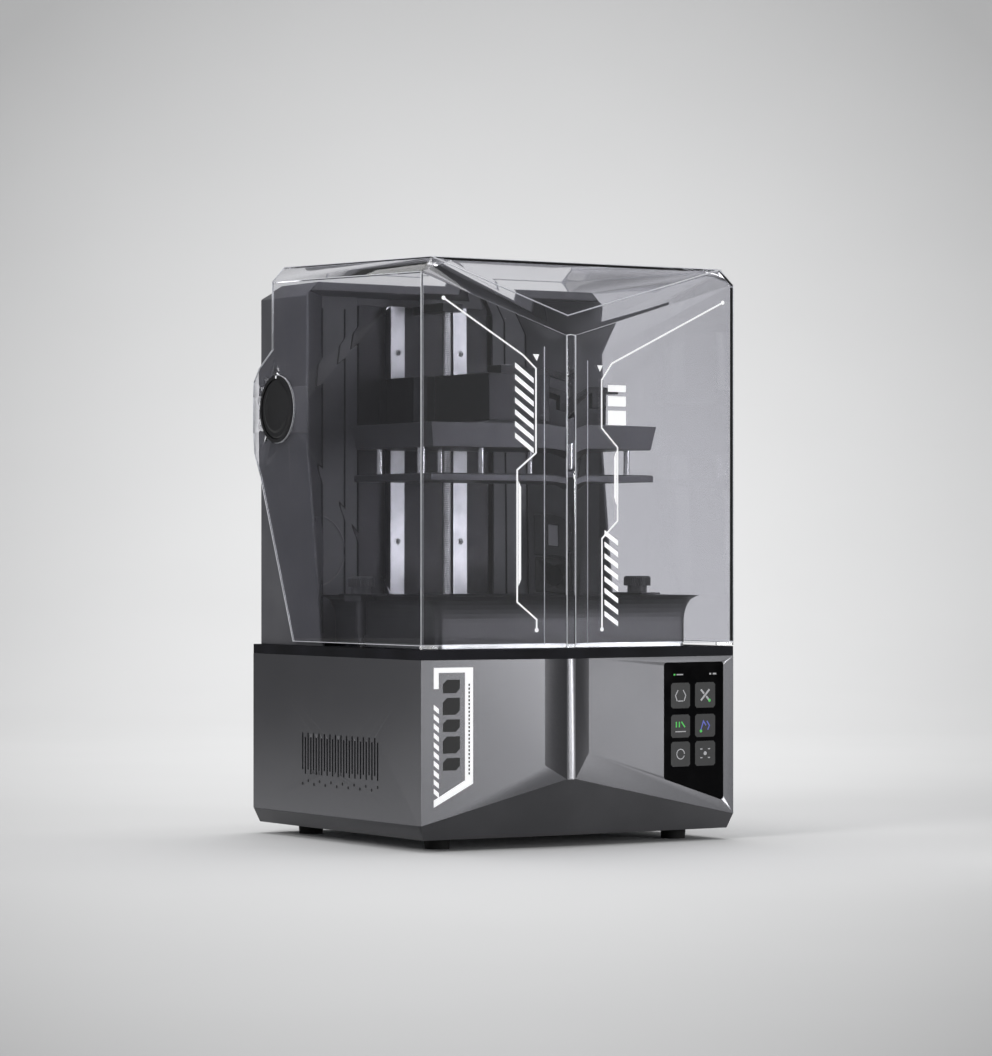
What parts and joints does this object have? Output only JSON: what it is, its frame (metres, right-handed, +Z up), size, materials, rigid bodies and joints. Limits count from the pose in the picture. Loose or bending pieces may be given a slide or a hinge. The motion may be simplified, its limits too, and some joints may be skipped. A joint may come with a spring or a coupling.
{
  "type": "resin printer",
  "caption": "Desktop resin printer: faceted metallic-grey base, smoked flip-up cover, rear tower with a screw-driven build platform, resin vat and touch screen.",
  "frame": {"origin": "centre of the footprint, on the surface the printer stands on", "axes": "+X to the printer's right, +Y to its back, +Z up"},
  "size_m": [0.3382, 0.33, 0.5316],
  "materials": {
    "metallic_grey": "satin metallic",
    "dark_plastic": "satin",
    "tower_plastic": "fine grain",
    "black_plastic": "satin",
    "deck_plastic": "satin",
    "rocker_plastic": "gloss",
    "vat_grey": "satin",
    "foot_rubber": "matte",
    "zinc_steel": "plated",
    "steel": "plain",
    "rail_steel": "ground",
    "screw_steel": "rolled thread",
    "motor_steel": "black",
    "bare_aluminium": "milled",
    "dark_aluminium": "black anodised",
    "etched_aluminium": "etched",
    "chrome": "polished",
    "brass": "turned",
    "board_green": "solder mask",
    "led_yellow": "gloss",
    "black_glass": "polished",
    "clear_lens": "polished",
    "frosted_window": "frosted",
    "clear_film": "clear",
    "smoked_cover": "smoked clear",
    "clear_bumper": "clear"
  },
  "bodies": {
    "printer": {"base_shell": "metallic_grey", "base_skirt": "dark_plastic", "bottom_plate": "zinc_steel", "camera_housing": "black_plastic", "camera_lens": "black_glass", "deck_inserts": "brass", "deck_plate": "deck_plastic", "fan_frame": "black_plastic", "feet": "foot_rubber", "film_frame": "bare_aluminium", "filter_cover": "tower_plastic", "foot_screws": "steel", "heat_sink": "bare_aluminium", "hinge_caps": "black_plastic", "hinge_pins": "steel", "lamp_housing": "dark_plastic", "lamp_window": "frosted_window", "lcd_panel": "black_glass", "led_board": "bare_aluminium", "leds": "led_yellow", "light_housing": "black_plastic", "light_lens": "clear_lens", "main_board": "board_green", "motor_mount": "dark_aluminium", "power_inlet": "black_plastic", "power_supply": "zinc_steel", "rail_left": "rail_steel", "rail_right": "rail_steel", "rail_screws": "steel", "release_film": "clear_film", "switch_housing": "black_plastic", "top_bearing": "dark_aluminium", "touch_screen_glass": "black_glass", "touch_screen_module": "board_green", "tower_housing": "tower_plastic", "tower_rear_cover": "tower_plastic", "usb_port": "steel", "vat_body": "vat_grey", "vat_clamp_plates": "dark_aluminium", "z_column": "dark_aluminium", "z_motor": "motor_steel"},
    "lid": {"lid": "smoked_cover", "hinge_hubs": "black_plastic", "lid_bumpers": "clear_bumper"},
    "platform": {"rail_carriages": "steel", "z_nut": "brass", "z_arm": "dark_aluminium", "arm_bracket": "dark_aluminium", "platform_tray": "dark_aluminium", "platform_posts": "chrome", "build_plate": "etched_aluminium", "lever_pin": "steel"},
    "lever": {"clamp_lever": "dark_aluminium"},
    "screw": {"lead_screw": "screw_steel", "shaft_coupling": "bare_aluminium", "motor_shaft": "steel"},
    "knob_left": {"vat_knob_left": "dark_plastic"},
    "knob_right": {"vat_knob_right": "dark_plastic"},
    "fan": {"fan_rotor": "black_plastic"},
    "rocker": {"power_rocker": "rocker_plastic"}
  },
  "joints": [
    {"name": "lid_hinge", "type": "hinge", "parent": "printer", "child": "lid", "pos_m": [0, 0.1178, 0.3982], "axis": [-1, 0, 0], "range_deg": [0, 90]},
    {"name": "z_slide", "type": "slide", "parent": "printer", "child": "platform", "axis": [0, 0, 1], "range_m": [-0.147, 0.058]},
    {"name": "screw_spin", "type": "hinge", "parent": "printer", "child": "screw", "pos_m": [0, 0.0906, 0.3], "axis": [0, 0, 1], "range_deg": [-2700, 6700]},
    {"name": "lever_turn", "type": "hinge", "parent": "platform", "child": "lever", "pos_m": [0, -0.0145, 0.4335], "axis": [0, 0, 1], "range_deg": [-90, 0]},
    {"name": "left_knob_turn", "type": "hinge", "parent": "printer", "child": "knob_left", "pos_m": [-0.15, -0.012, 0.2], "axis": [0, 0, 1], "continuous": true},
    {"name": "right_knob_turn", "type": "hinge", "parent": "printer", "child": "knob_right", "pos_m": [0.15, -0.012, 0.2], "axis": [0, 0, 1], "continuous": true},
    {"name": "fan_spin", "type": "hinge", "parent": "printer", "child": "fan", "pos_m": [0.06, -0.04, 0.0225], "axis": [0, 0, 1], "continuous": true},
    {"name": "power_rock", "type": "hinge", "parent": "printer", "child": "rocker", "pos_m": [-0.073, 0.157, 0.062], "axis": [1, 0, 0], "range_deg": [-6, 6]}
  ],
  "couplings": [
    {"joint": "screw_spin", "follows": "z_slide", "rad_per_m": -785.4}
  ]
}
